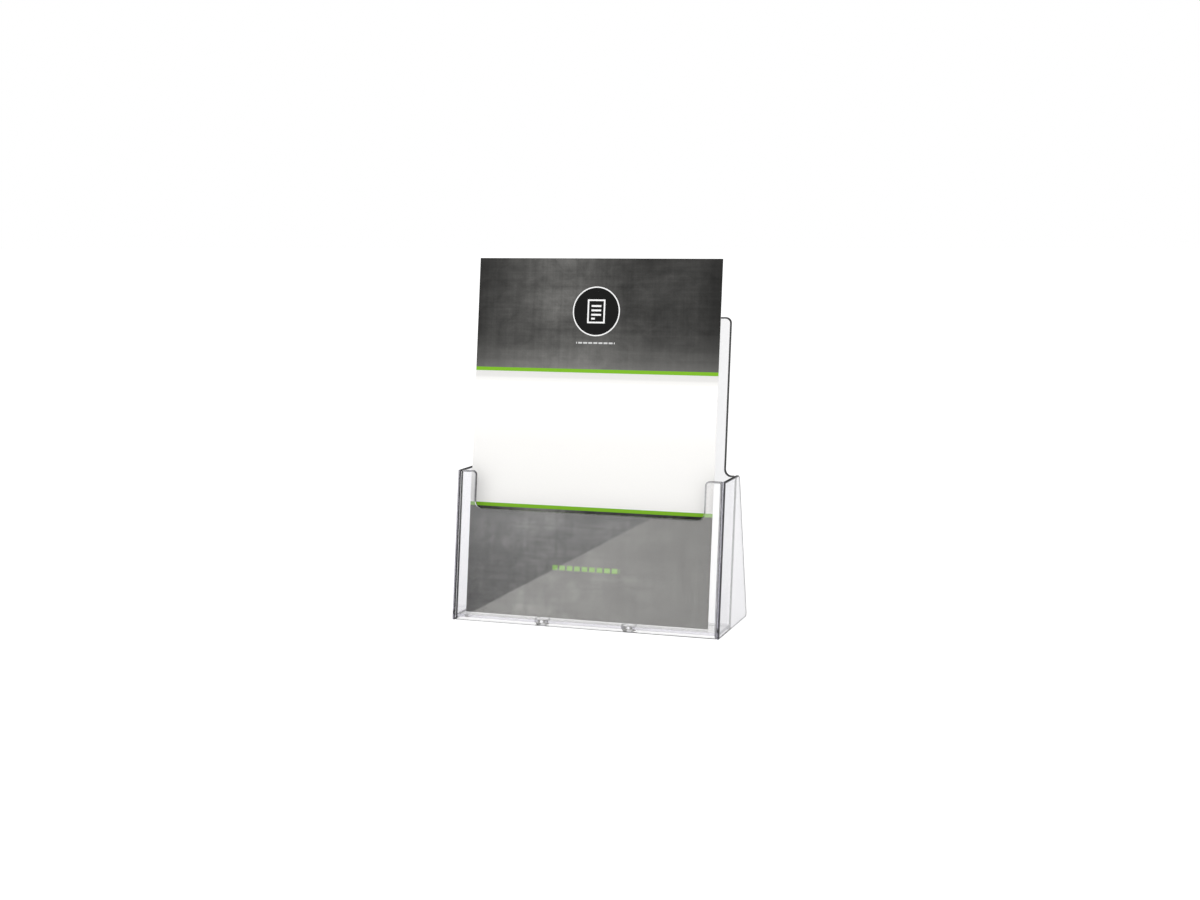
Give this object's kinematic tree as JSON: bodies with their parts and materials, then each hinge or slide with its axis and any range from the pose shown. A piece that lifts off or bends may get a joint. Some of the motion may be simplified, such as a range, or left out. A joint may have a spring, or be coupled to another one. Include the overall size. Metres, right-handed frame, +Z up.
{
  "type": "leaflet holder",
  "caption": "Free-standing clear plastic A4 portrait leaflet holder: a leaning pocket with a finger cut-out, a tall back and side feet, holding a printed leaflet that lifts out.",
  "frame": {"origin": "on the table, under the middle of the base", "axes": "+Z up, the pocket's front faces -Y, +X to the right seen from the front"},
  "size_m": [0.23, 0.091, 0.2995],
  "materials": {
    "front_panel": "clear polished moulding",
    "back_panel": "clear polished moulding",
    "side_panel_left": "clear polished moulding",
    "side_panel_right": "clear polished moulding",
    "pocket_floor": "clear polished moulding",
    "floor_boss_left": "clear polished moulding",
    "floor_boss_right": "clear polished moulding",
    "leaflet": "coated card, printed on the front"
  },
  "bodies": {
    "holder": {"front_panel": "front_panel", "back_panel": "back_panel", "side_panel_left": "side_panel_left", "side_panel_right": "side_panel_right", "pocket_floor": "pocket_floor", "floor_boss_left": "floor_boss_left", "floor_boss_right": "floor_boss_right"},
    "leaflet": {"leaflet": "leaflet"}
  },
  "joints": [
    {"name": "leaflet_lift", "type": "slide", "parent": "holder", "child": "leaflet", "axis": [0, 0.125, 0.9922], "range_m": [0, 0.26]}
  ]
}
